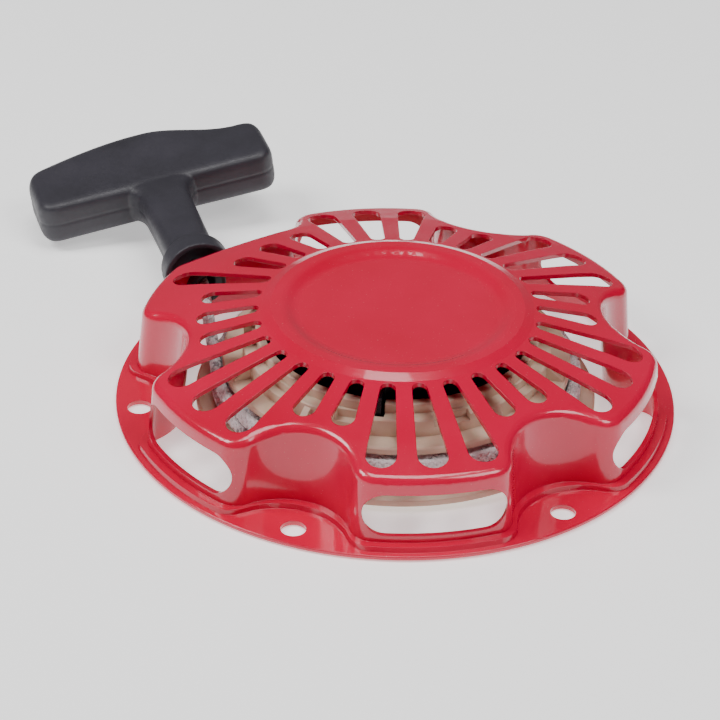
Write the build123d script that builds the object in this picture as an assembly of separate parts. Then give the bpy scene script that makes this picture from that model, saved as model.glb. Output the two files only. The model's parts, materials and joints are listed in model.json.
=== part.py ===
"""Recoil starter for a small horizontal-shaft engine.

The origin is the centre of the flange's underside.  +Z runs up to the closed
top of the case and the rope leaves on the -X side.  All sizes are in
millimetres.
"""
from build123d import *
from math import asin, atan2, cos, degrees, hypot, radians, sin, sqrt, tan
import os

os.makedirs("parts", exist_ok=True)

# ---------------------------------------------------------------- case
FLANGE_R = 84.0            # pressed steel flange
STEEL = 1.4                # sheet thickness
BOLT_PCD = 154.0           # six M6 clearance holes
BOLT_HOLE_R = 3.65
LOBES = 6
LOBE_HALF = 17.0           # degrees from the middle of a lobe to its corner
LOBE_CORNER_R = 7.0
WALL_FOOT_R = 79.6         # outer wall of a lobe where it meets the flange
WALL_TOP_R = 77.4          # and where it would meet the top
VALLEY_FOOT_R = 65.6       # deepest point between two lobes
VALLEY_TOP_R = 63.0
STEP_OUT = 2.6             # pressed step around the foot of the wall
STEP_HIGH = 1.5
TOP_EDGE_R = 2.8           # rounded edge between wall and top
CONE_R = 40.6              # the louvred top falls away outward from here
CONE_Z = 31.3
CONE_FALL = 0.225          # slope as far as the bend line, then a little more
BEND_R = 64.0
RIM_FALL = 0.26
RING_Z = 32.5              # flat ring around the pressed centre
DISH_Z = 30.9              # pressed centre
DISH_R = 29.5
RING_IN_R = 35.0
RING_OUT_R = 37.6

SLOTS = 30
SLOT_IN_R = CONE_R + 0.6     # just clear of the pressed ring
SLOT_LONG_R = 73.2         # outer end of the slots over a lobe
SLOT_SHORT_R = 59.6        # and of those over a valley
SLOT_IN_HALF = 2.2
SLOT_LONG_HALF = 4.4
SLOT_SHORT_HALF = 3.4
SHORT_SLOTS = (168, 192)   # beside the rope's flat wall

WINDOW_LONG = 41.0
WINDOW_LOW = 5.0
WINDOW_HIGH = 17.8
WINDOW_LOBES = (0, 60, 120, 240, 300)

# ---------------------------------------------------------------- rope path
ROPE_R = 2.0
PULL_AZ = 129.1            # direction of the pull, in the XY plane
PULL_RISE = 1.0            # and above it
PULL_OFFSET = 45.0         # distance of the pull line from the reel's axis
PULL_Z = 13.1              # height of the pull line beside the axis
FACET_VALLEY_R = 67.4      # flat wall that the rope leaves through
FACET_VALLEY_AZ = 151.6
FACET_LOBE_R = 77.4
FACET_LOBE_AZ = 173.0
HOLE_R = 5.0
FERRULE_R = 6.8
FERRULE_BORE_R = 3.2
FERRULE_IN = 4.2           # how far the rope guide reaches in from the wall
FERRULE_OUT = 3.2
LEAD_OUT = 5.0             # straight stretch of rope each side of the wall hole

# ---------------------------------------------------------------- reel
POST_R = 9.0
POST_LOW_Z = 7.4
REEL_BORE_R = 9.1
COLLAR_R = 12.2
COLLAR_LOW_Z = 7.2
REEL_R = 60.0
REEL_Z = 1.6
LOW_FLANGE = 2.2
CORE_R = 47.5
CORE_WALL = 2.8
UP_FLANGE_R = 52.0
GROOVE_Z = REEL_Z + LOW_FLANGE
GROOVE_HIGH = 10.0
UP_FLANGE = 2.2
DECK_Z = GROOVE_Z + GROOVE_HIGH + UP_FLANGE
DRUM_R = 42.2              # spring housing
DRUM_WALL = 2.6
DRUM_TOP_Z = 24.6
WEB_Z = 11.0               # floor of the spring housing
WEB = 2.4
STEP_R = 46.0              # shoulder round the spring housing
STEP_TOP_Z = 21.5
ROPE_ROWS = (6.4, 11.0)    # heights of the two rows of turns
ROPE_LAYERS = (49.7, 53.6) # radii of the two layers of turns
RIBS = 10                  # outside, round the shoulder
WEBS = 6                   # underneath, clear of the knot and the pawls
KNOT_AZ = 211.1            # below where the rope leaves, so the turns are whole

# ---------------------------------------------------------------- spring
SPRING_T = 0.6
SPRING_HIGH = 11.6
SPRING_Z = 15.6
SPRING_IN_R = 13.6
SPRING_OUT_R = 38.6
SPRING_TURNS = 9
HOOK_AZ = 284.0            # where the outer end hooks over the housing wall

# ---------------------------------------------------------------- ratchet
SCREW_R = 2.95
HEAD_Z = 0.3
WASHER_Z = 1.7
GUIDE_Z = 2.6
GUIDE_T = 1.6
GUIDE_R = 24.0
GUIDE_HUB_R = 8.0
GUIDE_SWING = 20.0
PAWL_PIVOT_R = 21.5
PAWL_PIN_R = 2.4
PAWL_Z = 4.6
PAWL_T = 4.4
PAWL_AZ = 260.0            # where the arm points at rest
PAWL_LONG = 15.0
PAWL_SWING = 32.0
PEG_R = 1.4
PEG_AZ = 215.0
PEG_OFF = 7.0              # peg's distance from the pawl's pivot

# ---------------------------------------------------------------- grip
BAR_LONG = 79.5
BAR_SHIFT = -0.8           # the stem stands a little off the bar's middle
BAR_END_DEEP = 24.5
BULGE = 9.9                # crown of the bar's far side
BULGE_AT = 2.0             # which is off the bar's middle too
BAR_THICK = 14.8
BAR_EDGE_R = 3.6
BAR_ROLL = 8.2             # the grip hangs turned about the rope
BAR_ALONG = 111.0          # near face of the bar, along the pull line
STEM_R = 7.9
CUP_ALONG = 62.4           # open end of the grip's cup, along the pull line
CUP_LONG = 10.0
CUP_END_R = 11.0
CUP_WALL = 1.8
GRIP_BORE_R = 2.6
POCKET_R = 6.2
POCKET_Z = 16.5            # floor of the knot's pocket, from the bar's near face

RED = (0.72, 0.03, 0.06)
CREAM = (0.80, 0.74, 0.62)
STEEL_GREY = (0.55, 0.56, 0.58)
DARK_STEEL = (0.12, 0.12, 0.13)
ROPE_WHITE = (0.85, 0.85, 0.86)
CHARCOAL = (0.10, 0.10, 0.11)


def polar(radius, angle, z=0.0):
    return Vector(radius * cos(radians(angle)), radius * sin(radians(angle)), z)


def save(name, shape, colour):
    shape.label = name
    shape.color = Color(*colour)
    export_step(shape, "parts/" + name + ".step")


def ring(outer, inner, low, high):
    tube = Cylinder(outer, high - low) - Cylinder(inner, high - low + 2)
    return Pos(0, 0, (low + high) / 2) * tube


def disc(radius, low, high):
    return Pos(0, 0, (low + high) / 2) * Cylinder(radius, high - low)


def direction(azimuth, rise):
    level = cos(radians(rise))
    return polar(level, azimuth, sin(radians(rise)))


# The pull line, and the flat wall that it goes through.
PULL_DIR = direction(PULL_AZ, PULL_RISE)
PULL_SIDE = direction(PULL_AZ + 90, 0)
PULL_START = PULL_SIDE * PULL_OFFSET + Vector(0, 0, PULL_Z)
WALL_HIGH = 24.0
WALL_DRAFT = (WALL_FOOT_R - WALL_TOP_R) / WALL_HIGH
FACET_FOOT = polar(FACET_VALLEY_R, FACET_VALLEY_AZ, WALL_HIGH)
FACET_HEAD = polar(FACET_LOBE_R, FACET_LOBE_AZ, WALL_HIGH)
FACET_RUN = degrees(atan2(FACET_HEAD.Y - FACET_FOOT.Y, FACET_HEAD.X - FACET_FOOT.X))
WALL_NORMAL = direction(FACET_RUN - 90, degrees(atan2(WALL_DRAFT, 1)))
HOLE_ALONG = (FACET_FOOT - PULL_START).dot(WALL_NORMAL) / PULL_DIR.dot(WALL_NORMAL)
HOLE_AT = PULL_START + PULL_DIR * HOLE_ALONG


def wall_plane(out=0.0):
    """Plane on the flat rope wall's outer face, z pointing out of the case."""
    return Plane(HOLE_AT + WALL_NORMAL * out, z_dir=WALL_NORMAL)


def grip_plane(along):
    """Plane across the pull line: x runs along the bar, z along the pull."""
    plane = Plane(PULL_START + PULL_DIR * along, x_dir=PULL_SIDE * -1, z_dir=PULL_DIR)
    return plane * Rot(0, 0, -BAR_ROLL)


# ---------------------------------------------------------------- case shape
def valley_circle(rim_r, valley_r):
    """Centre distance and radius of the arc that scoops one valley."""
    half = radians(180 / LOBES - LOBE_HALF)
    across = rim_r * cos(half)
    aside = rim_r * sin(half)
    centre = (across**2 + aside**2 - valley_r**2) / (2 * (across - valley_r))
    return centre, centre - valley_r


def facet_box(shift, outward):
    """One side of the flat rope wall, as a long rectangle."""
    middle = (FACET_FOOT + FACET_HEAD) / 2
    half_run = (FACET_HEAD - FACET_FOOT).length / 2
    away = direction(FACET_RUN - 90, 0) * shift
    side = -15 if outward else 15
    slide = 30 - half_run if outward else 0
    at = Pos(middle.X + away.X, middle.Y + away.Y) * Rot(0, 0, FACET_RUN)
    return at * Pos(slide, side) * Rectangle(60, 30)


def lobed_face(rim_r, valley_r, corner_r, z):
    """Six-lobed outline; the valley beside the rope has a flat wall."""
    centre, radius = valley_circle(rim_r, valley_r)
    face = Circle(rim_r)
    for k in range(LOBES):
        angle = 30 + 60 * k
        scoop = Rot(0, 0, angle) * Pos(centre, 0) * Circle(radius)
        if angle == 150:
            shift = rim_r - WALL_TOP_R
            scoop = scoop - facet_box(shift, False) + facet_box(shift, True)
        face = face - scoop
    face = fillet(face.vertices(), corner_r)
    return Pos(0, 0, z) * face


def lobed_block(inset, low, high):
    """Drafted block inside the wall's outer face, moved in by the inset."""
    valley_draft = (VALLEY_FOOT_R - VALLEY_TOP_R) / WALL_HIGH
    sections = []
    for z in (low, high):
        rim = WALL_FOOT_R - WALL_DRAFT * z - inset
        valley = VALLEY_FOOT_R - valley_draft * z - inset
        sections.append(lobed_face(rim, valley, LOBE_CORNER_R - inset, z))
    return loft(sections, ruled=True)


def top_profile(drop):
    """Half section under the top surface, lowered by the drop."""
    far = 95.0
    start = (CONE_R, CONE_Z - drop)
    bend = (BEND_R, CONE_Z - CONE_FALL * (BEND_R - CONE_R) - drop)
    end = (far, bend[1] - RIM_FALL * (far - BEND_R))
    with BuildSketch(Plane.XZ) as sketch:
        with BuildLine():
            dish = (DISH_R, DISH_Z - drop)
            lip = (RING_IN_R, RING_Z - drop)
            Line((0, -5), (0, DISH_Z - drop))
            Line((0, DISH_Z - drop), dish)
            Spline(dish, lip, tangents=((1, 0), (1, 0)))
            Line(lip, (RING_OUT_R, RING_Z - drop))
            Polyline((RING_OUT_R, RING_Z - drop), start, bend, end, (far, -5), (0, -5))
        make_face()
    return Rot(0, 0, 180 / SLOTS) * revolve(sketch.sketch, Axis.Z)


def case_block(inset, low, edge_r):
    block = lobed_block(inset, low, 34.0) & top_profile(inset)
    rim = [
        e for e in block.edges()
        if hypot(e.center().X, e.center().Y) > 55 and e.center().Z > 18
        and abs(e.tangent_at(0.5).Z) < 0.6
    ]
    return fillet(rim, edge_r)


def slot_face(outer_r, outer_half):
    """Radial slot that widens outward, with round ends."""
    near = SLOT_IN_R + SLOT_IN_HALF
    far = outer_r - outer_half
    lean = asin((outer_half - SLOT_IN_HALF) / (far - near))
    near_x = near - SLOT_IN_HALF * sin(lean)
    near_y = SLOT_IN_HALF * cos(lean)
    far_x = far - outer_half * sin(lean)
    far_y = outer_half * cos(lean)
    outline = [
        Line((near_x, -near_y), (far_x, -far_y)),
        ThreePointArc((far_x, -far_y), (outer_r, 0), (far_x, far_y)),
        Line((far_x, far_y), (near_x, near_y)),
        ThreePointArc((near_x, near_y), (SLOT_IN_R, 0), (near_x, -near_y)),
    ]
    return make_face(Curve() + outline)


def slot_cutters():
    long_slot = extrude(slot_face(SLOT_LONG_R, SLOT_LONG_HALF), 30, dir=(0, 0, 1))
    short_slot = extrude(slot_face(SLOT_SHORT_R, SLOT_SHORT_HALF), 30, dir=(0, 0, 1))
    cutters = []
    for k in range(SLOTS):
        angle = 360 / SLOTS * k
        over_lobe = angle % 60 in (0, 12, 48) and angle not in SHORT_SLOTS
        slot = long_slot if over_lobe else short_slot
        cutters.append(Pos(0, 0, 18.5) * Rot(0, 0, angle) * slot)
    return cutters


def window_cutters():
    high = WINDOW_HIGH - WINDOW_LOW
    face = Plane.YZ * SlotOverall(WINDOW_LONG, high)
    cutter = Pos(66, 0, (WINDOW_LOW + WINDOW_HIGH) / 2) * extrude(face, 20, dir=(1, 0, 0))
    return [Rot(0, 0, angle) * cutter for angle in WINDOW_LOBES]


def starter_case():
    flange = fillet(disc(FLANGE_R, 0, STEEL).edges(), 0.45)
    step = loft(
        [
            lobed_face(WALL_FOOT_R + STEP_OUT, VALLEY_FOOT_R + STEP_OUT, LOBE_CORNER_R, STEEL - 0.2),
            lobed_face(WALL_FOOT_R + STEP_OUT - 0.6, VALLEY_FOOT_R + STEP_OUT - 0.6,
                       LOBE_CORNER_R - 0.3, STEEL + STEP_HIGH),
        ],
        ruled=True,
    )
    shell = flange + step + case_block(0, 0.4, TOP_EDGE_R)
    shell = shell - case_block(STEEL, -3.0, TOP_EDGE_R - STEEL)
    holes = [
        Rot(0, 0, 30 + 60 * k) * Pos(BOLT_PCD / 2, 0, 1) * Cylinder(BOLT_HOLE_R, 8)
        for k in range(6)
    ]
    rope_hole = wall_plane() * Cylinder(HOLE_R, 12)
    return shell - slot_cutters() - window_cutters() - holes - rope_hole


def reel_post():
    """Steel spigot, welded under the dish, that the reel turns on."""
    top = DISH_Z - STEEL
    post = disc(POST_R, POST_LOW_Z, top) + disc(15.0, top - 1.8, top)
    hook_slot = Pos(POST_R, 0, SPRING_Z + SPRING_HIGH / 2) * Box(5.0, 1.2, SPRING_HIGH + 1)
    thread = disc(3.0, POST_LOW_Z - 1, POST_LOW_Z + 14)
    return post - hook_slot - thread


def setting_screw():
    head = extrude(Pos(0, 0, HEAD_Z) * RegularPolygon(5.2, 6), WASHER_Z - HEAD_Z)
    collar = disc(6.6, WASHER_Z - 0.5, WASHER_Z)
    shank = disc(SCREW_R, WASHER_Z, POST_LOW_Z + 12)
    return head + collar + chamfer(shank.edges().sort_by(Axis.Z)[-1], 0.6)


def screw_washer():
    return ring(8.6, 3.2, WASHER_Z, GUIDE_Z - 0.1)


def rope_guide():
    """Flanged bush in the wall, with flared mouths for the rope."""
    with BuildSketch(Plane.XZ) as half:
        with BuildLine():
            Polyline(
                (FERRULE_BORE_R, -FERRULE_IN + 1.6), (FERRULE_BORE_R, FERRULE_OUT - 1.6),
                (FERRULE_BORE_R + 1.6, FERRULE_OUT), (FERRULE_R - 0.6, FERRULE_OUT),
                (FERRULE_R, FERRULE_OUT - 0.6), (FERRULE_R, 0.15), (HOLE_R - 0.1, 0.15),
                (HOLE_R - 0.1, -STEEL - 0.15), (FERRULE_R - 0.4, -STEEL - 0.15),
                (FERRULE_R - 0.4, -FERRULE_IN + 0.6), (FERRULE_R - 1.0, -FERRULE_IN),
                (FERRULE_BORE_R + 1.6, -FERRULE_IN), (FERRULE_BORE_R, -FERRULE_IN + 1.6),
            )
        make_face()
    return wall_plane() * revolve(half.sketch, Axis.Z)


# ---------------------------------------------------------------- reel shape
def reel_profile():
    """Half section of the reel, from the bore outward."""
    drum_in = DRUM_R - DRUM_WALL
    core_in = CORE_R - CORE_WALL
    floor = WEB_Z + WEB
    points = [
        (REEL_BORE_R, COLLAR_LOW_Z), (COLLAR_R, COLLAR_LOW_Z), (COLLAR_R, WEB_Z),
        (core_in, WEB_Z), (core_in, REEL_Z), (REEL_R, REEL_Z),
        (REEL_R, GROOVE_Z - 0.4), (REEL_R - 0.8, GROOVE_Z), (CORE_R, GROOVE_Z),
        (CORE_R, DECK_Z - UP_FLANGE), (UP_FLANGE_R, DECK_Z - UP_FLANGE),
        (UP_FLANGE_R, DECK_Z - 0.5), (UP_FLANGE_R - 0.5, DECK_Z),
        (STEP_R, DECK_Z), (STEP_R, STEP_TOP_Z - 0.4), (STEP_R - 0.4, STEP_TOP_Z),
        (DRUM_R, STEP_TOP_Z),
        (DRUM_R, DRUM_TOP_Z - 0.4), (DRUM_R - 0.4, DRUM_TOP_Z), (drum_in, DRUM_TOP_Z),
        (drum_in, floor), (REEL_BORE_R + 2.2, floor), (REEL_BORE_R + 2.2, floor + 1.2),
        (REEL_BORE_R, floor + 1.2),
    ]
    return make_face(Plane.XZ * Polyline(*points, close=True))


def reel_rib():
    """Stiffener from the upper flange up to the spring housing."""
    points = [
        (STEP_R - 1.0, DECK_Z - 1.0), (UP_FLANGE_R - 1.0, DECK_Z - 1.0),
        (UP_FLANGE_R - 1.0, DECK_Z + 0.6), (STEP_R, STEP_TOP_Z - 1.0),
        (STEP_R - 1.0, STEP_TOP_Z - 1.0),
    ]
    face = make_face(Plane.XZ * Polyline(*points, close=True))
    return extrude(face, 1.1, both=True)


def pivot_at(index):
    return Rot(0, 0, 180 * index) * Pos(PAWL_PIVOT_R, 0, 0)


def rope_reel():
    reel = revolve(reel_profile(), Axis.Z)
    ribs = [Rot(0, 0, 360 / RIBS * k + 6) * reel_rib() for k in range(RIBS)]
    pins = [pivot_at(k) * disc(PAWL_PIN_R, PAWL_Z - 0.1, WEB_Z + 0.5) for k in range(2)]
    webs = [
        Rot(0, 0, KNOT_AZ + 360 / WEBS * (k + 0.5)) * Pos(35, 0, WEB_Z - 1.5) * Box(13.6, 2.0, 4.0)
        for k in range(WEBS)
    ]
    reel = reel + ribs + pins + webs
    notch_high = SPRING_HIGH - 1.0
    notch_z = DRUM_TOP_Z + 1 - notch_high / 2
    notch = Rot(0, 0, HOOK_AZ) * Pos(DRUM_R - 1, 0, notch_z) * Box(6.0, 4.4, notch_high)
    pockets = [
        Rot(0, 0, 360 / RIBS * k + 24) * Pos(DRUM_R + 3.4, 0, STEP_TOP_Z) * Box(5.0, 11.0, 5.0)
        for k in range(RIBS)
    ]
    knot_hole = Rot(0, 0, KNOT_AZ) * Pos(CORE_R, 0, ROPE_ROWS[0] + 1) * Rot(0, 90, 0)
    return reel - notch - pockets - knot_hole * Cylinder(ROPE_R + 0.3, 12)


def wound_rope():
    """The turns of rope in the groove, as one ring of round rows."""
    section = Sketch()
    for radius in ROPE_LAYERS:
        for z in ROPE_ROWS:
            section += Plane.XZ * Pos(radius, z) * Circle(ROPE_R)
    middle = sum(ROPE_LAYERS) / 2
    high = ROPE_ROWS[1] - ROPE_ROWS[0]
    core = Plane.XZ * Pos(middle, sum(ROPE_ROWS) / 2) * Rectangle(ROPE_LAYERS[1] - ROPE_LAYERS[0], high)
    return revolve(section + core, Axis.Z)


def reel_knot():
    """Stop knot behind the core's wall, with the end that passes through it."""
    z = ROPE_ROWS[0] + 1
    knot = Sphere(3.7) - Pos(3.4, 0, 0) * Box(1.2, 9, 9)
    start = CORE_R - CORE_WALL - 3.9
    stub_long = ROPE_LAYERS[0] - ROPE_R - 0.1 - start
    stub = Pos(start + stub_long / 2, 0, z) * Rot(0, 90, 0) * Cylinder(ROPE_R, stub_long)
    return Rot(0, 0, KNOT_AZ) * (Pos(start, 0, z) * knot + stub)


def half_turn(radius, centre_x, upper):
    """Half of a flat strip's turn."""
    tube = ring(radius + SPRING_T / 2, radius - SPRING_T / 2, SPRING_Z, SPRING_Z + SPRING_HIGH)
    reach = SPRING_OUT_R + 4
    side = reach / 2 if upper else -reach / 2
    keep = Pos(0, side, SPRING_Z + SPRING_HIGH / 2) * Box(2 * reach, reach, SPRING_HIGH + 2)
    return Pos(centre_x, 0, 0) * (tube & keep)


def recoil_spring():
    """Clock spring made of half turns, each a little wider than the last."""
    step = (SPRING_OUT_R - SPRING_IN_R) / (2 * SPRING_TURNS)
    turns = []
    for k in range(2 * SPRING_TURNS):
        radius = SPRING_IN_R + step * k
        shift = -step / 2 if k % 2 else step / 2
        turns.append(half_turn(radius, shift, k % 2 == 0))
    middle = SPRING_Z + SPRING_HIGH / 2
    eye = Pos(POST_R + 2.6, -0.3, middle) * Box(5.2, SPRING_T, SPRING_HIGH)
    spring = turns[0]
    for turn in turns[1:]:
        spring = spring + turn
    spring = spring + eye
    hook_low = DRUM_TOP_Z - 7.0
    hook_high = SPRING_Z + SPRING_HIGH - hook_low
    bar_long = DRUM_R + 1.2 - SPRING_OUT_R + 3.0
    bar = Pos(DRUM_R + 1.2 - bar_long / 2, 0, hook_low + hook_high / 2) * Box(bar_long, 2.6, hook_high)
    tab = Pos(DRUM_R + 0.9, 0, (hook_low + hook_high / 2)) * Box(SPRING_T, 2.6, hook_high)
    return Rot(0, 0, HOOK_AZ) * (spring + bar + tab)


# ---------------------------------------------------------------- ratchet
def arm_face(near_r, far_r, length, azimuth):
    """Tapered arm with round ends, from its pivot outward."""
    lean = asin((near_r - far_r) / length)
    near = (near_r * sin(lean), near_r * cos(lean))
    far = (length + far_r * sin(lean), far_r * cos(lean))
    outline = [
        Line((near[0], -near[1]), (far[0], -far[1])),
        ThreePointArc((far[0], -far[1]), (length + far_r, 0), far),
        Line(far, near),
        ThreePointArc(near, (-near_r, 0), (near[0], -near[1])),
    ]
    return Rot(0, 0, azimuth) * make_face(Curve() + outline)


def ratchet_pawl(index):
    arm = extrude(arm_face(5.0, 2.2, PAWL_LONG, PAWL_AZ), PAWL_T, dir=(0, 0, 1))
    lug = extrude(arm_face(5.0, 2.6, PEG_OFF, PEG_AZ), PAWL_T, dir=(0, 0, 1))
    peg_at = polar(PEG_OFF, PEG_AZ)
    peg = Pos(peg_at.X, peg_at.Y, 0) * disc(PEG_R, GUIDE_Z + 0.3 - PAWL_Z, 1.0)
    bore = disc(PAWL_PIN_R + 0.1, -1, PAWL_T + 1)
    return pivot_at(index) * Pos(0, 0, PAWL_Z) * (arm + lug + peg - bore)


def peg_place(travel):
    """Where the peg stands in the ratchet guide, from 0 at rest to 1."""
    swing = polar(PEG_OFF, PEG_AZ + PAWL_SWING * travel)
    at = Vector(PAWL_PIVOT_R + swing.X, swing.Y)
    return at.rotate(Axis.Z, -GUIDE_SWING * travel)


def peg_slot():
    """Cam slot: the room that the peg sweeps through, with clearance."""
    start = peg_place(0)
    end = peg_place(1)
    width = 2 * (PEG_R + 0.7)
    run = end - start
    middle = (start + end) / 2
    face = SlotCenterToCenter(run.length, width)
    turn = degrees(atan2(run.Y, run.X))
    return Pos(middle.X, middle.Y, GUIDE_Z - 1) * Rot(0, 0, turn) * extrude(face, GUIDE_T + 2)


def ratchet_guide():
    plate = disc(GUIDE_R, GUIDE_Z, GUIDE_Z + GUIDE_T)
    hub = disc(GUIDE_HUB_R, GUIDE_Z, POST_LOW_Z - 0.1)
    rim = ring(GUIDE_R, GUIDE_R - 1.4, GUIDE_Z - 0.8, GUIDE_Z + 0.4)
    slots = [Rot(0, 0, 180 * k) * peg_slot() for k in range(2)]
    bore = disc(SCREW_R + 0.1, 0, POST_LOW_Z + 1)
    body = fillet((plate + hub).edges().filter_by(GeomType.CIRCLE).group_by(Axis.Z)[-1], 0.5)
    return body + rim - slots - bore


def friction_spring():
    """Open wire ring that grips the ratchet guide's hub."""
    wire_r = 0.6
    radius = GUIDE_HUB_R + wire_r + 0.05
    loop = Pos(0, 0, GUIDE_Z + GUIDE_T + 1.4) * Torus(radius, wire_r)
    gap = Pos(-radius, 0, GUIDE_Z + GUIDE_T + 1.4) * Box(4.0, 3.0, 3.0)
    return loop - gap


def pawl_return_spring(index):
    """Two-turn wire spring round the pawl's pin, one leg on the web."""
    wire_r = 0.35
    low = PAWL_Z + PAWL_T + 0.25 + wire_r
    path = Helix(pitch=0.75, height=0.95, radius=PAWL_PIN_R + wire_r + 0.15)
    start = path @ 0
    coil = sweep(Plane(start, z_dir=path % 0) * Circle(wire_r), path)
    end = path @ 1
    leg = Pos(end.X, end.Y + 2.4, end.Z) * Rot(90, 0, 0) * Cylinder(wire_r, 5.0)
    return pivot_at(index) * Pos(0, 0, low) * (coil + leg)


# ---------------------------------------------------------------- rope run
def rope_tube(points, radius):
    path = FilletPolyline(*points, radius=radius) if len(points) > 2 else Line(*points)
    start = path @ 0
    return sweep(Plane(start, z_dir=path % 0) * Circle(ROPE_R), path)


def rope_lead():
    """From the wound turns to the rope guide, then into line with the pull."""
    reach = hypot(HOLE_AT.X, HOLE_AT.Y)
    radius = ROPE_LAYERS[1]
    toward = degrees(atan2(HOLE_AT.Y, HOLE_AT.X))
    leave = polar(radius, toward + degrees(asin(1)) - degrees(asin(radius / reach)), ROPE_ROWS[1])
    aim = (HOLE_AT - leave).normalized()
    clear = radius + 2 * ROPE_R + 0.4
    start = leave + aim * sqrt(clear**2 - radius**2)
    end = HOLE_AT + PULL_DIR * LEAD_OUT
    turn = aim.get_angle(PULL_DIR)
    bend = 0.45 * LEAD_OUT / tan(radians(turn / 2))
    print("rope lead: turn", round(turn, 1), "radius", round(bend, 1))
    return rope_tube([start, HOLE_AT, end], bend)


def rope_run():
    start = PULL_START + PULL_DIR * (HOLE_ALONG + LEAD_OUT)
    end = PULL_START + PULL_DIR * (BAR_ALONG + POCKET_Z - 0.2)
    return rope_tube([start, end], 0)


# ---------------------------------------------------------------- grip
def grip_bar():
    """Cross bar: flat towards the case, crowned on the far side."""
    half = BAR_LONG / 2
    with BuildSketch(Plane.XZ) as face:
        with BuildLine():
            Polyline((-half + 1.5, BAR_END_DEEP), (-half, 0), (half, 0), (half - 1.5, BAR_END_DEEP))
            Spline(
                (half - 1.5, BAR_END_DEEP), (half - 14, BAR_END_DEEP + 0.15 * BULGE),
                (BULGE_AT + 13.5, BAR_END_DEEP + 0.57 * BULGE), (BULGE_AT, BAR_END_DEEP + BULGE),
                (BULGE_AT - 19, BAR_END_DEEP + 0.77 * BULGE), (-half + 1.5, BAR_END_DEEP),
                tangents=((-1, 0.02), (-1, -0.5)),
            )
        make_face()
    corners = face.sketch.vertices()
    outline = fillet(corners, 6.0)
    bar = extrude(outline, BAR_THICK / 2, both=True)
    rims = bar.edges().filter_by(lambda e: abs(e.center().Y) > BAR_THICK / 2 - 0.1)
    return Pos(BAR_SHIFT, 0, 0) * fillet(rims, BAR_EDGE_R)


def grip_stem():
    """Round stem and the cup that closes over the rope guide."""
    long = BAR_ALONG - CUP_ALONG
    with BuildSketch(Plane.XZ) as half:
        with BuildLine():
            Polyline(
                (0, 4), (STEM_R + 2.6, 4), (STEM_R + 2.0, -1.0), (STEM_R + 0.4, -5.0), (STEM_R, -9.0),
                (STEM_R - 0.3, CUP_LONG - long), (CUP_END_R - 0.4, 3.5 - long), (CUP_END_R, 3.0 - long),
                (CUP_END_R, -long), (CUP_END_R - CUP_WALL, -long),
                (CUP_END_R - CUP_WALL, 4.6 - long), (0, 4.6 - long), (0, 4),
            )
        make_face()
    return revolve(half.sketch, Axis.Z)


def handle_grip():
    grip = grip_bar() + grip_stem()
    bore = disc(GRIP_BORE_R, -60, POCKET_Z + 1)
    pocket = disc(POCKET_R, POCKET_Z, BAR_END_DEEP + BULGE + 4)
    return grip_plane(BAR_ALONG) * (grip - bore - pocket)


def knot_washer():
    return grip_plane(BAR_ALONG) * ring(POCKET_R - 0.3, ROPE_R + 0.3, POCKET_Z, POCKET_Z + 1.0)


def handle_knot():
    z = POCKET_Z + 1.2
    knot = Pos(0, 0, z + 3.2) * scale(Sphere(4.3), (1, 1, 0.74))
    stub = disc(ROPE_R, POCKET_Z, z + 1.0)
    tail = Pos(1.6, 0, z + 5.6) * Rot(0, 25, 0) * Cylinder(ROPE_R - 0.1, 4.0)
    return grip_plane(BAR_ALONG) * (knot + stub + tail)

save("starter_case", starter_case(), RED)
save("reel_post", reel_post(), STEEL_GREY)
save("setting_screw", setting_screw(), STEEL_GREY)
save("screw_washer", screw_washer(), STEEL_GREY)
save("rope_guide", rope_guide(), CHARCOAL)
save("rope_reel", rope_reel(), CREAM)
save("wound_rope", wound_rope(), ROPE_WHITE)
save("reel_knot", reel_knot(), ROPE_WHITE)
save("recoil_spring", recoil_spring(), DARK_STEEL)
save("ratchet_guide", ratchet_guide(), STEEL_GREY)
save("friction_spring", friction_spring(), STEEL_GREY)
for index in range(2):
    save(f"ratchet_pawl_{index + 1}", ratchet_pawl(index), DARK_STEEL)
    save(f"pawl_return_spring_{index + 1}", pawl_return_spring(index), STEEL_GREY)
save("rope_lead", rope_lead(), ROPE_WHITE)
save("rope_run", rope_run(), ROPE_WHITE)
save("handle_grip", handle_grip(), CHARCOAL)
save("knot_washer", knot_washer(), STEEL_GREY)
save("handle_knot", handle_knot(), ROPE_WHITE)
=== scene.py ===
"""Looks of the recoil starter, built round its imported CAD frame.

Lengths are metres, or millimetres times MM. The grip alone is shaped in
plain millimetres, and grip_matrix brings it into the frame.
"""
import bpy
import json
from math import atan2, cos, exp, pi, radians, sin, sqrt
from mathutils import Matrix, Vector


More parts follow.
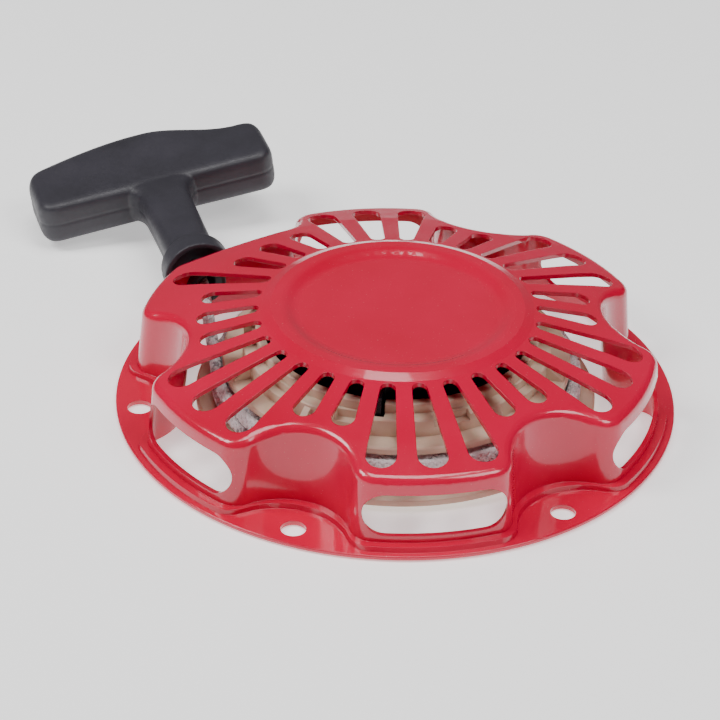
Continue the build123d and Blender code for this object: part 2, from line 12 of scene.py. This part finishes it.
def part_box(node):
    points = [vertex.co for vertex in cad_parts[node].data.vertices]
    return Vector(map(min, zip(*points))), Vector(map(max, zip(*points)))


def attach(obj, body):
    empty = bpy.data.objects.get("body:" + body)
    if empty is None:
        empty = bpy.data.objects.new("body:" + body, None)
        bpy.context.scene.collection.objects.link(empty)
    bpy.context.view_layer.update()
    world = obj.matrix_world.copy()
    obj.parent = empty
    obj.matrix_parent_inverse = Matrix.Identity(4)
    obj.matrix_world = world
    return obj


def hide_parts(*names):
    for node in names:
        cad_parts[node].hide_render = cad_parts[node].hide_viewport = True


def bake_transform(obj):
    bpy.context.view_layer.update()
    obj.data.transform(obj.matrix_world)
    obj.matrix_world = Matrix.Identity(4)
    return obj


MM = 0.001
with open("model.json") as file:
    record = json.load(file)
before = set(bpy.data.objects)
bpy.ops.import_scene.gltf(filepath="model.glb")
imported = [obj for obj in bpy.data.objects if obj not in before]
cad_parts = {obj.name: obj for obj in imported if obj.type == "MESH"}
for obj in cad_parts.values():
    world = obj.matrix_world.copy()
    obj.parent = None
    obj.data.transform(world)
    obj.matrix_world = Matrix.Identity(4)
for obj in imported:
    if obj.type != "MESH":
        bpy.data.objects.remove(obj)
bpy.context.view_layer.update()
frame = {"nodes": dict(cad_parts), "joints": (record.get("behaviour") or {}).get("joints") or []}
nodes = frame["nodes"]
joints = {j["name"]: j for j in frame["joints"]}

# ------------------------------------------------------------------ camera
CAMERA_AZIMUTH = 21.6       # degrees round from the front
CAMERA_ELEVATION = 32.09    # degrees above the floor
CAMERA_ROLL = 1.42          # degrees
CAMERA_DISTANCE = 0.8636    # from the origin, along the view
CAMERA_ASIDE = 0.01056      # of the origin, right of the middle of the view
CAMERA_ABOVE = -0.01111     # of the origin, above the middle of the view
CAMERA_LENS = 143.07        # mm
CAMERA_SENSOR = 36          # mm


def add_camera():
    azimuth, elevation = radians(CAMERA_AZIMUTH), radians(CAMERA_ELEVATION)
    roll = radians(CAMERA_ROLL)
    level = cos(elevation)
    forward = Vector((-sin(azimuth) * level, cos(azimuth) * level, -sin(elevation)))
    right = Vector((cos(azimuth), sin(azimuth), 0))
    up = right.cross(forward)
    turned_right = right * cos(roll) + up * sin(roll)
    turned_up = up * cos(roll) - right * sin(roll)
    place = -(turned_right * CAMERA_ASIDE + turned_up * CAMERA_ABOVE + forward * CAMERA_DISTANCE)
    matrix = Matrix((turned_right, turned_up, -forward)).transposed().to_4x4()
    matrix.translation = place
    data = bpy.data.cameras.new("camera")
    data.lens = CAMERA_LENS
    data.sensor_width = CAMERA_SENSOR
    camera = bpy.data.objects.new("camera", data)
    camera.matrix_world = matrix
    bpy.context.scene.collection.objects.link(camera)
    bpy.context.scene.camera = camera


# --------------------------------------------------------------- materials
NOISE_LOW = 0.3             # most of a noise's values lie between these two
NOISE_HIGH = 0.7
BEVEL_SAMPLES = 6
MIX_COLOURS = (6, 7)        # a colour mix's sockets for its two colours
MIX_RESULT = 2              # and its output for the mixed one


class Shader:
    """A node material under construction: a few short helpers round its tree."""

    def __init__(self, name):
        self.material = bpy.data.materials.new(name)
        self.material.use_nodes = True
        self.tree = self.material.node_tree
        self.bsdf = self.tree.nodes["Principled BSDF"]
        self.coords = self.add("ShaderNodeTexCoord").outputs["Object"]

    def add(self, kind, **settings):
        node = self.tree.nodes.new(kind)
        for key, value in settings.items():
            setattr(node, key, value)
        return node

    def link(self, source, target):
        self.tree.links.new(source, target)

    def value(self, **sockets):
        """Sets constants on the shader's own sockets, such as Coat_Weight=1."""
        for key, value in sockets.items():
            self.bsdf.inputs[key.replace("_", " ")].default_value = value

    def noise(self, scale, detail=4.0, rough=0.55, stretch=None):
        """Noise over the object's coordinates, which stretch multiplies if given."""
        node = self.add("ShaderNodeTexNoise")
        node.inputs["Scale"].default_value = scale
        node.inputs["Detail"].default_value = detail
        node.inputs["Roughness"].default_value = rough
        source = self.coords
        if stretch:
            mapping = self.add("ShaderNodeMapping")
            mapping.inputs["Scale"].default_value = stretch
            self.link(source, mapping.inputs["Vector"])
            source = mapping.outputs["Vector"]
        self.link(source, node.inputs["Vector"])
        return node.outputs["Fac"]

    def remap(self, source, to_low, to_high, low=NOISE_LOW, high=NOISE_HIGH):
        """The source's low to high, spread over to_low to to_high and held there."""
        node = self.add("ShaderNodeMapRange")
        ends = {"From Min": low, "From Max": high, "To Min": to_low, "To Max": to_high}
        for key, value in ends.items():
            node.inputs[key].default_value = value
        self.link(source, node.inputs["Value"])
        return node.outputs["Result"]

    def blend(self, fac, low, high):
        """Mix of two colours, given as RGB or as another node's output."""
        node = self.add("ShaderNodeMix", data_type="RGBA")
        self.link(fac, node.inputs["Factor"])
        for index, colour in zip(MIX_COLOURS, (low, high)):
            if isinstance(colour, tuple):
                node.inputs[index].default_value = (*colour, 1)
            else:
                self.link(colour, node.inputs[index])
        return node.outputs[MIX_RESULT]

    def maths(self, operation, first, second):
        """Sum or product of two, given as numbers or as other nodes' outputs."""
        node = self.add("ShaderNodeMath", operation=operation)
        for index, item in enumerate((first, second)):
            if isinstance(item, (int, float)):
                node.inputs[index].default_value = item
            else:
                self.link(item, node.inputs[index])
        return node.outputs[0]

    def colour(self, source):
        self.link(source, self.bsdf.inputs["Base Color"])

    def roughness(self, source):
        self.link(source, self.bsdf.inputs["Roughness"])

    def bump(self, height, distance, strength, edge=0.0):
        """Bump from a height, over softened edges if edge is a radius."""
        node = self.add("ShaderNodeBump")
        node.inputs["Strength"].default_value = strength
        node.inputs["Distance"].default_value = distance
        self.link(height, node.inputs["Height"])
        if edge:
            bevel = self.add("ShaderNodeBevel", samples=BEVEL_SAMPLES)
            bevel.inputs["Radius"].default_value = edge
            self.link(bevel.outputs["Normal"], node.inputs["Normal"])
        self.link(node.outputs["Normal"], self.bsdf.inputs["Normal"])


def paint_material():
    """Thick gloss red over pressed sheet: slight orange peel and dust."""
    s = Shader("gloss red paint")
    broad = s.noise(scale=28, detail=3)
    fine = s.noise(scale=1500, detail=2)
    red = s.blend(s.remap(broad, 0, 1), (0.62, 0.0006, 0.036), (0.70, 0.0010, 0.050))
    dust = s.remap(s.noise(scale=2600, detail=1, rough=0.4), 0, 0.35, low=0.74, high=0.80)
    s.colour(s.blend(dust, red, (0.85, 0.35, 0.36)))
    s.roughness(s.remap(s.noise(scale=90), 0.16, 0.26))
    s.value(Coat_Weight=0.7, Coat_Roughness=0.04, IOR=1.45)
    peel = s.noise(scale=420, detail=2, rough=0.5)
    height = s.maths("ADD", peel, s.maths("MULTIPLY", fine, 0.15))
    s.bump(height, distance=0.06 * MM, strength=0.5, edge=0.4 * MM)
    return s.material


def nylon_material():
    """Natural nylon: warm, slightly waxy, with flow marks and grime."""
    s = Shader("natural nylon")
    flow = s.noise(scale=60, detail=5, rough=0.6)
    cream = s.blend(s.remap(flow, 0, 1), (0.60, 0.47, 0.34), (0.72, 0.60, 0.46))
    grime = s.remap(s.noise(scale=25, detail=6, rough=0.65), 0, 0.35, low=0.52, high=0.72)
    s.colour(s.blend(grime, cream, (0.36, 0.27, 0.20)))
    s.roughness(s.remap(s.noise(scale=200), 0.38, 0.56))
    s.value(Subsurface_Weight=0.12, Subsurface_Scale=2 * MM)
    s.bump(s.noise(scale=1800, detail=3), distance=0.05 * MM, strength=0.4, edge=0.3 * MM)
    return s.material


def grip_material():
    """Charcoal moulded plastic with a fine spark-eroded grain."""
    s = Shader("charcoal plastic")
    tone = s.noise(scale=45)
    s.colour(s.blend(s.remap(tone, 0, 1), (0.030, 0.028, 0.036), (0.044, 0.041, 0.052)))
    s.roughness(s.remap(s.noise(scale=700, detail=3), 0.40, 0.54))
    grain = s.noise(scale=3200, detail=2)
    coarse = s.maths("MULTIPLY", s.noise(scale=500, detail=3), 0.6)
    s.bump(s.maths("ADD", grain, coarse), distance=0.06 * MM, strength=0.5)
    return s.material


def guide_material():
    """Black nylon, a little worn."""
    s = Shader("black nylon")
    s.colour(s.blend(s.noise(scale=120), (0.008, 0.008, 0.009), (0.02, 0.02, 0.022)))
    s.roughness(s.remap(s.noise(scale=600, detail=3), 0.34, 0.5))
    s.bump(s.noise(scale=2200, detail=2), distance=0.04 * MM, strength=0.4, edge=0.3 * MM)
    return s.material


def zinc_material():
    """Zinc-plated steel: a little yellowed, with fine drawing marks."""
    s = Shader("zinc plate")
    patches = s.noise(scale=140, detail=5, rough=0.6)
    patches = s.remap(patches, 0, 1, low=0.35, high=0.65)
    s.colour(s.blend(patches, (0.50, 0.49, 0.45), (0.66, 0.65, 0.60)))
    s.roughness(s.remap(s.noise(scale=500, detail=5, stretch=(1, 1, 9)), 0.24, 0.42))
    s.value(Metallic=1.0)
    marks = s.noise(scale=900, stretch=(1, 1, 8))
    s.bump(marks, distance=0.04 * MM, strength=0.35, edge=0.25 * MM)
    return s.material


def pawl_material():
    """Hardened steel, dark and unplated."""
    s = Shader("hardened steel")
    s.colour(s.blend(s.noise(scale=260, detail=5), (0.15, 0.14, 0.13), (0.32, 0.30, 0.28)))
    s.roughness(s.remap(s.noise(scale=420), 0.3, 0.5))
    s.value(Metallic=1.0)
    s.bump(s.noise(scale=1400), distance=0.05 * MM, strength=0.5, edge=0.3 * MM)
    return s.material


def spring_material():
    """Blued strip, with streaks along it."""
    s = Shader("blued spring strip")
    streak = s.noise(scale=300, stretch=(1, 1, 6))
    s.colour(s.blend(streak, (0.012, 0.012, 0.014), (0.045, 0.047, 0.055)))
    s.roughness(s.remap(s.noise(scale=700, detail=3), 0.22, 0.4))
    s.value(Metallic=0.85)
    marks = s.noise(scale=1600, detail=3, stretch=(1, 1, 5))
    s.bump(marks, distance=0.03 * MM, strength=0.3, edge=0.2 * MM)
    return s.material


def rope_material(name, light, dark):
    """Braided yarn: mottled fibres and a soft sheen."""
    s = Shader(name)
    fibre = s.noise(scale=2600, detail=3, rough=0.6)
    s.colour(s.blend(s.remap(fibre, 0, 1, low=0.35, high=0.65), dark, light))
    s.roughness(s.remap(s.noise(scale=1200, detail=2), 0.62, 0.82))
    s.value(Sheen_Weight=0.3, Sheen_Roughness=0.4)
    s.bump(s.noise(scale=5200, detail=2), distance=0.08 * MM, strength=0.6)
    return s.material


def see_through_from_below(s):
    """The surface hides nothing from a camera that sees its back."""
    facing = s.add("ShaderNodeNewGeometry").outputs["Backfacing"]
    clear = s.add("ShaderNodeBsdfTransparent").outputs["BSDF"]
    either = s.add("ShaderNodeMixShader")
    for index, source in enumerate((facing, s.bsdf.outputs["BSDF"], clear)):
        s.link(source, either.inputs[index])
    s.link(either.outputs["Shader"], s.tree.nodes["Material Output"].inputs["Surface"])


def floor_material():
    """Pale and faintly lit from itself, so that it stays light all over."""
    s = Shader("pale floor")
    s.colour(s.blend(s.noise(scale=6, detail=3), (0.90, 0.90, 0.90), (0.93, 0.93, 0.93)))
    s.roughness(s.remap(s.noise(scale=40, detail=3), 0.5, 0.6))
    s.value(Emission_Color=(1, 1, 1, 1), Emission_Strength=0.6)
    see_through_from_below(s)
    return s.material


PAINT = paint_material()
NYLON = nylon_material()
GRIP = grip_material()
BLACK_NYLON = guide_material()
ZINC = zinc_material()
PAWL_STEEL = pawl_material()
SPRING_STEEL = spring_material()
ROPE_PALE = rope_material("pale yarn", (0.80, 0.80, 0.80), (0.60, 0.60, 0.61))
ROPE_FLECK = rope_material("grey yarn", (0.34, 0.34, 0.35), (0.20, 0.20, 0.21))
FLOOR = floor_material()


# ------------------------------------------------------------ mesh helpers
def mesh_object(name, vertices, faces, material):
    """A smooth-shaded object in the scene, from its points and faces."""
    mesh = bpy.data.meshes.new(name)
    mesh.from_pydata([tuple(v) for v in vertices], [], faces)
    mesh.validate()
    mesh.materials.append(material)
    for polygon in mesh.polygons:
        polygon.use_smooth = True
    piece = bpy.data.objects.new(name, mesh)
    bpy.context.scene.collection.objects.link(piece)
    return piece


def loft_rings(rings):
    """Vertices and faces of a closed tube through equal rings of points."""
    count = len(rings[0])
    vertices = [p for ring in rings for p in ring]
    faces = []
    for row in range(len(rings) - 1):
        for k in range(count):
            here = row * count + k
            beside = row * count + (k + 1) % count
            faces.append((here, beside, beside + count, here + count))
    faces.append(tuple(reversed(range(count))))
    last = (len(rings) - 1) * count
    faces.append(tuple(range(last, last + count)))
    return vertices, faces


def smoothstep(value, low, high):
    t = min(max((value - low) / (high - low), 0.0), 1.0)
    return t * t * (3 - 2 * t)


def mix(low, high, share):
    return low + (high - low) * share


def around(radius, angle, z):
    return Vector((radius * cos(angle), radius * sin(angle), z))


# -------------------------------------------------------------------- rope
STRANDS = 12
FLECKED = (1, 6)            # the strands of grey yarn
BRAID_PITCH = 15.0 * MM     # a strand goes once round the rope in this
BRAID_STEP = 0.8 * MM       # from ring to ring of a strand
STRAND_SIDES = 6
STRAND_OUT = 0.74           # of the rope's radius, out to a strand's middle
STRAND_WEAVE = 0.06         # of the rope's radius, over and under that
STRAND_R = 0.27             # of the rope's radius
STRAND_THICK = 0.75         # of the strand's radius, towards the rope's middle
STRAND_WIDE = 1.45          # of the strand's radius, round the rope


def path_frames(points):
    """Distance, place, side and normal at each point of a path."""
    frames = []
    travelled = 0.0
    normal = Vector((0, 0, 1))
    for index, point in enumerate(points):
        before = points[max(index - 1, 0)]
        after = points[min(index + 1, len(points) - 1)]
        along = (after - before).normalized()
        if index:
            travelled += (point - points[index - 1]).length
        side = along.cross(normal).normalized()
        normal = side.cross(along).normalized()
        frames.append((travelled, point, side, normal))
    return frames


def braid_strand(frames, index, rope_r):
    """One strand of the braid: it winds round the path, over and under."""
    turn = 1 if index % 2 else -1
    start = 2 * pi * (index // 2) / (STRANDS / 2)
    strand_r = rope_r * STRAND_R
    rings = []
    for travelled, place, side, normal in frames:
        phase = 2 * pi * travelled / BRAID_PITCH
        angle = start + turn * phase
        weave = STRAND_WEAVE * rope_r * sin(STRANDS / 2 * phase + pi * (index % 2))
        radius = rope_r * STRAND_OUT + weave
        out = side * cos(angle) + normal * sin(angle)
        round_it = normal * cos(angle) - side * sin(angle)
        centre = place + out * radius
        ring = []
        for k in range(STRAND_SIDES):
            t = 2 * pi * k / STRAND_SIDES
            outward = out * strand_r * cos(t) * STRAND_THICK
            ring.append(centre + outward + round_it * strand_r * sin(t) * STRAND_WIDE)
        rings.append(ring)
    return loft_rings(rings)


def braided_rope(name, points, rope_r):
    """Rope along a path: woven strands, a few of them flecked grey."""
    frames = path_frames(points)
    vertices, faces, owner = [], [], []
    for index in range(STRANDS):
        strand, quads = braid_strand(frames, index, rope_r)
        offset = len(vertices)
        vertices += strand
        faces += [tuple(offset + k for k in quad) for quad in quads]
        owner += [1 if index in FLECKED else 0] * len(quads)
    piece = mesh_object(name, vertices, faces, ROPE_PALE)
    piece.data.materials.append(ROPE_FLECK)
    for polygon, kind in zip(piece.data.polygons, owner):
        polygon.material_index = kind
    return piece


def line_points(start, end):
    count = max(int((end - start).length / BRAID_STEP), 2)
    return [start.lerp(end, k / count) for k in range(count + 1)]


# ------------------------------------------------- places, from the CAD frame
ROPE_R = 2.0 * MM
LEAD_OUT = 5.0 * MM         # from the hole in the wall to the straight rope outside
CORE_R = 47.7 * MM          # the first layer of turns lies on this
TURNS = 4
CROSSING = radians(40)      # each turn climbs to the next row over this much
BEND_STEPS = 14             # of the rope's bend at the hole
POCKET_FLOOR = 16.5 * MM    # of the grip's knot pocket, from its near face
WASHER_HALF = 0.5 * MM
BAR_ROLL = radians(8.2)     # of the grip's bar, off the level
KNOT_STEPS = 110
STOP_KNOT_SPREAD = 2.2 * MM
STOP_KNOT_TALL = 1.2 * MM
STOP_KNOT_ROPE_R = 1.5 * MM
GRIP_KNOT_SPREAD = 3.5 * MM
GRIP_KNOT_TALL = 1.8 * MM
GRIP_KNOT_ROPE_R = 1.8 * MM

PULL = Vector(joints["handle_pull"]["axis"]).normalized()


def centre_of(node):
    low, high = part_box(node)
    return (low + high) / 2


def run_ends():
    """Ends of the straight rope outside the case, from its box."""
    low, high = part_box("rope_run")
    across = 2 * ROPE_R * sqrt(1 - PULL.x ** 2)
    half = ((high.x - low.x) - across) / abs(PULL.x) / 2
    middle = centre_of("rope_run")
    return middle - PULL * half, middle + PULL * half


def wound_size():
    """Outer layer, inner layer, upper row and lower row of the turns."""
    low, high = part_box("wound_rope")
    return high.x - ROPE_R, CORE_R + ROPE_R, high.z - ROPE_R, low.z + ROPE_R


RUN_START, RUN_END = run_ends()
HOLE = RUN_START - PULL * LEAD_OUT
OUTER_LAYER, INNER_LAYER, UPPER_ROW, LOWER_ROW = wound_size()


def exit_angle():
    """Where the rope leaves the turns on its way to the hole."""
    reach = Vector((HOLE.x, HOLE.y)).length
    return atan2(HOLE.y, HOLE.x) + atan2(sqrt(reach ** 2 - OUTER_LAYER ** 2), OUTER_LAYER)


def turn_points():
    """Two turns inside and two outside, climbing row to row."""
    rows = ((INNER_LAYER, UPPER_ROW), (INNER_LAYER, LOWER_ROW), (OUTER_LAYER, LOWER_ROW),
            (OUTER_LAYER, UPPER_ROW))
    end = exit_angle()
    step = BRAID_STEP / OUTER_LAYER
    count = int(TURNS * 2 * pi / step)
    points = []
    for k in range(count + 1):
        swept = TURNS * 2 * pi * k / count
        turn = min(int(swept / (2 * pi)), TURNS - 1)
        radius, z = rows[turn]
        if turn:
            share = smoothstep(swept - turn * 2 * pi, 0, CROSSING)
            radius = mix(rows[turn - 1][0], radius, share)
            z = mix(rows[turn - 1][1], z, share)
        points.append(around(radius, end + TURNS * 2 * pi - swept, z))
    return points


def lead_points():
    """Straight from the turns to the hole, then bent into the pull line."""
    leave = around(OUTER_LAYER, exit_angle(), UPPER_ROW)
    aim = (HOLE - leave).normalized()
    before = HOLE - aim * LEAD_OUT
    points = line_points(leave, before)[:-1]
    for k in range(BEND_STEPS + 1):
        t = k / BEND_STEPS
        points.append(before * (1 - t) ** 2 + HOLE * 2 * t * (1 - t) + RUN_START * t ** 2)
    return points


def knot_points(centre, axis, spread, tall):
    """Trefoil of rope, its middle on the given axis."""
    across = axis.orthogonal().normalized()
    beside = axis.cross(across)
    points = []
    for k in range(KNOT_STEPS + 1):
        t = 2 * pi * k / KNOT_STEPS
        u = (sin(t) + 2 * sin(2 * t)) / 3 * spread
        v = (cos(t) - 2 * cos(2 * t)) / 3 * spread
        points.append(centre + across * u + beside * v - axis * sin(3 * t) * tall)
    return points


def make_ropes():
    turns = braided_rope("rope_turns", turn_points(), ROPE_R)
    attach(turns, "reel")
    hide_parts("wound_rope")
    lead = braided_rope("rope_to_guide", lead_points(), ROPE_R)
    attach(lead, "case")
    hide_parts("rope_lead")
    run = braided_rope("rope_to_grip", line_points(RUN_START, RUN_END), ROPE_R)
    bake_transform(run)
    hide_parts("rope_run")
    outward = around(1, exit_angle(), 0)
    path = knot_points(centre_of("reel_knot"), outward, STOP_KNOT_SPREAD, STOP_KNOT_TALL)
    stop = braided_rope("reel_stop_knot", path, STOP_KNOT_ROPE_R)
    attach(stop, "reel")
    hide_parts("reel_knot")
    path = knot_points(centre_of("handle_knot"), PULL, GRIP_KNOT_SPREAD, GRIP_KNOT_TALL)
    knot = braided_rope("grip_knot", path, GRIP_KNOT_ROPE_R)
    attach(knot, "handle")
    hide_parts("handle_knot")


# ---------------------------------------- grip, shaped in plain millimetres
BAR_HALF = 39.75
BAR_SHIFT = -0.8            # of the bar's middle, off the pull line
BAR_THICK_HALF = 7.4
BAR_END_DEEP = 24.5         # from the near face to the far one at the ends
BAR_BULGE = 9.9             # the crown's height over that
BULGE_AT = 2.0              # the crown's place along the bar
BULGE_RIGHT = 30.0          # from the crown to the level part of the far face
BAR_SQUARENESS = 7.0
BAR_STEPS = 96
BAR_SIDES = 96
PLAN_CORNER = 6.0
EDGE_CORNER = 3.6
CUP_END = -48.6
CUP_R = 11.0
CUP_BORE_R = 9.2
CUP_BORE_DEEP = 4.6
BORE_R = 2.6
POCKET_R = 6.2
CUT_PAST = 1.0              # a cutter goes this far past the face it opens
CUTTER_SIDES = 48
STEM_SIDES = 64
# (place along the pull, half width along the bar, half height, squareness)
STEM_SECTIONS = (
    (5.0, 12.6, 6.8, 4.2), (0.5, 11.6, 6.8, 4.2), (-1.5, 10.0, 6.8, 4.0),
    (-3.5, 8.8, 6.9, 4.0), (-7.0, 8.1, 7.2, 3.8), (-14.0, 7.9, 7.5, 3.6),
    (-26.0, 7.8, 7.6, 3.2), (-36.0, 7.9, 7.8, 2.6), (-38.5, 8.6, 8.5, 2.2),
    (-40.5, 10.0, 10.0, 2.0), (-42.0, 10.8, 10.8, 2.0), (CUP_END, CUP_R, CUP_R, 2.0),
)
VOXEL = 0.45
SOFTEN_SHARE = 0.5
SOFTEN_TIMES = 4
PARTING_DEEP = 0.22
PARTING_WIDE = 0.42
PARTING_LEAST = 0.005       # shallower than this, nothing is pressed
PARTING_OFF_RIM = 1.0       # the groove stops short of the cup's rim


def grip_matrix():
    """Millimetres to the frame: x along the bar, y down, z along the pull."""
    level_x = Vector((PULL.y, -PULL.x, 0)).normalized()
    down = PULL.cross(level_x)
    x = level_x * cos(BAR_ROLL) - down * sin(BAR_ROLL)
    y = level_x * sin(BAR_ROLL) + down * cos(BAR_ROLL)
    matrix = Matrix((x, y, PULL)).transposed().to_4x4() @ Matrix.Scale(MM, 4)
    matrix.translation = centre_of("knot_washer") - PULL * (POCKET_FLOOR + WASHER_HALF)
    return matrix


def corner_drop(gap, radius):
    """How far a round corner has fallen at a distance from the end."""
    if gap >= radius:
        return 0.0
    return radius - sqrt(radius ** 2 - (radius - gap) ** 2)


def squared_ring(across, up, power, count):
    """Points of a superellipse, as pairs."""
    points = []
    for k in range(count):
        t = 2 * pi * k / count
        c, s = cos(t), sin(t)
        points.append((across * abs(c) ** (2 / power) * (1 if c >= 0 else -1),
                       up * abs(s) ** (2 / power) * (1 if s >= 0 else -1)))
    return points


def bulge(x):
    """Crown of the far side: full towards one end, hollow towards the other."""
    if x < BULGE_AT:
        return BAR_BULGE * cos(pi / 2 * (x - BULGE_AT) / (BAR_HALF + BULGE_AT))
    if x > BULGE_AT + BULGE_RIGHT:
        return 0.0
    return BAR_BULGE * cos(pi / 2 * (x - BULGE_AT) / BULGE_RIGHT) ** 2


def bar_rings():
    """Sections across the bar, closest together at its round ends."""
    rings = []
    for k in range(BAR_STEPS + 1):
        x = -BAR_HALF * cos(pi * k / BAR_STEPS)
        gap = BAR_HALF - abs(x)
        near = corner_drop(gap, PLAN_CORNER)
        far = BAR_END_DEEP + bulge(x) - near
        thick = BAR_THICK_HALF - corner_drop(gap, EDGE_CORNER)
        middle, deep = (near + far) / 2, (far - near) / 2
        ring = squared_ring(deep, thick, BAR_SQUARENESS, BAR_SIDES)
        rings.append([Vector((x + BAR_SHIFT, v, middle + u)) for u, v in ring])
    return rings


def stem_rings():
    return [[Vector((u, v, z)) for u, v in squared_ring(wide, high, power, STEM_SIDES)]
            for z, wide, high, power in STEM_SECTIONS]


def round_cutter(name, radius, low, high):
    angles = [2 * pi * k / CUTTER_SIDES for k in range(CUTTER_SIDES)]
    rings = [[around(radius, angle, z) for angle in angles] for z in (low, high)]
    return mesh_object(name, *loft_rings(rings), GRIP)


def applied(piece):
    """Makes the piece's modifiers real."""
    graph = bpy.context.evaluated_depsgraph_get()
    mesh = bpy.data.meshes.new_from_object(piece.evaluated_get(graph))
    piece.modifiers.clear()
    piece.data = mesh


def boolean(piece, other, operation):
    modifier = piece.modifiers.new(operation, "BOOLEAN")
    modifier.operation = operation
    modifier.solver = "EXACT"
    modifier.object = other
    applied(piece)
    bpy.data.objects.remove(other)


def press_parting_line(piece):
    """Fine groove where the halves of the mould met."""
    piece.data.update()
    for vertex in piece.data.vertices:
        depth = PARTING_DEEP * exp(-(vertex.co.y / PARTING_WIDE) ** 2)
        if vertex.co.z > CUP_END + PARTING_OFF_RIM and depth > PARTING_LEAST:
            vertex.co -= vertex.normal * depth


def make_grip():
    grip = mesh_object("grip", *loft_rings(bar_rings()), GRIP)
    stem = mesh_object("stem", *loft_rings(stem_rings()), GRIP)
    boolean(grip, stem, "UNION")
    floor = POCKET_FLOOR / MM
    crown = BAR_END_DEEP + BAR_BULGE
    bores = (
        ("cup_room", CUP_BORE_R, CUP_END - CUT_PAST, CUP_END + CUP_BORE_DEEP),
        ("bore", BORE_R, CUP_END, floor + CUT_PAST),
        ("pocket", POCKET_R, floor, crown + CUT_PAST),
    )
    for bore in bores:
        boolean(grip, round_cutter(*bore), "DIFFERENCE")
    remesh = grip.modifiers.new("remesh", "REMESH")
    remesh.mode = "VOXEL"
    remesh.voxel_size = VOXEL
    soften = grip.modifiers.new("soften", "SMOOTH")
    soften.factor = SOFTEN_SHARE
    soften.iterations = SOFTEN_TIMES
    applied(grip)
    press_parting_line(grip)
    grip.data.transform(grip_matrix())
    grip.data.update()
    for polygon in grip.data.polygons:
        polygon.use_smooth = True
    grip.data.materials.clear()
    grip.data.materials.append(GRIP)
    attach(grip, "handle")
    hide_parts("handle_grip")


# ---------------------------------------------------------- finish the scene
FINISHES = {
    "starter_case": PAINT,
    "rope_reel": NYLON,
    "rope_guide": BLACK_NYLON,
    "recoil_spring": SPRING_STEEL,
    "ratchet_pawl_1": PAWL_STEEL,
    "ratchet_pawl_2": PAWL_STEEL,
}

FLOOR_HALF = 6.0
FLOOR_BELOW = 0.4 * MM      # the flange's own lower face stays clear of it
BACKDROP_AIM = (-0.356, 0.899, 0.259)
# strength of the backdrop, by the cosine of the angle from its aim
BACKDROP = {"From Min": 0.74, "From Max": 0.93, "To Min": 0.16, "To Max": 2.9}
LIGHTS_AIM = Vector((0, 0, 0))
# name, place, width and power in watts
LIGHTS = (
    ("key", (-0.7, -0.4, 1.0), 0.5, 10),
    ("fill", (0.7, -0.2, 1.0), 0.5, 6),
    ("top", (0, 0, 1.3), 0.6, 8),
)


def finish_cad_nodes():
    for name, node in nodes.items():
        material = FINISHES.get(name, ZINC)
        node.data.materials.clear()
        node.data.materials.append(material)


def add_stage():
    signs = ((-1, -1), (1, -1), (1, 1), (-1, 1))
    corners = [(FLOOR_HALF * x, FLOOR_HALF * y, 0) for x, y in signs]
    floor = mesh_object("floor", corners, [(0, 1, 2, 3)], FLOOR)
    floor.location.z = -FLOOR_BELOW
    bpy.context.scene.world = studio_world()


def studio_world():
    """Bright backdrop on the far side, dimmer towards the near side."""
    world = bpy.data.worlds.new("studio")
    world.use_nodes = True
    tree = world.node_tree
    where = tree.nodes.new("ShaderNodeTexCoord")
    along = tree.nodes.new("ShaderNodeVectorMath")
    along.operation = "DOT_PRODUCT"
    along.inputs[1].default_value = BACKDROP_AIM
    shade = tree.nodes.new("ShaderNodeMapRange")
    for key, value in BACKDROP.items():
        shade.inputs[key].default_value = value
    tree.links.new(where.outputs["Generated"], along.inputs[0])
    tree.links.new(along.outputs["Value"], shade.inputs["Value"])
    tree.links.new(shade.outputs["Result"], tree.nodes["Background"].inputs["Strength"])
    return world


def area_light(name, place, width, power):
    data = bpy.data.lights.new(name, "AREA")
    data.energy = power
    data.size = width
    light = bpy.data.objects.new(name, data)
    light.location = place
    light.rotation_euler = (LIGHTS_AIM - Vector(place)).to_track_quat("-Z", "Y").to_euler()
    bpy.context.scene.collection.objects.link(light)


add_camera()
finish_cad_nodes()
make_ropes()
make_grip()
add_stage()
for light in LIGHTS:
    area_light(*light)
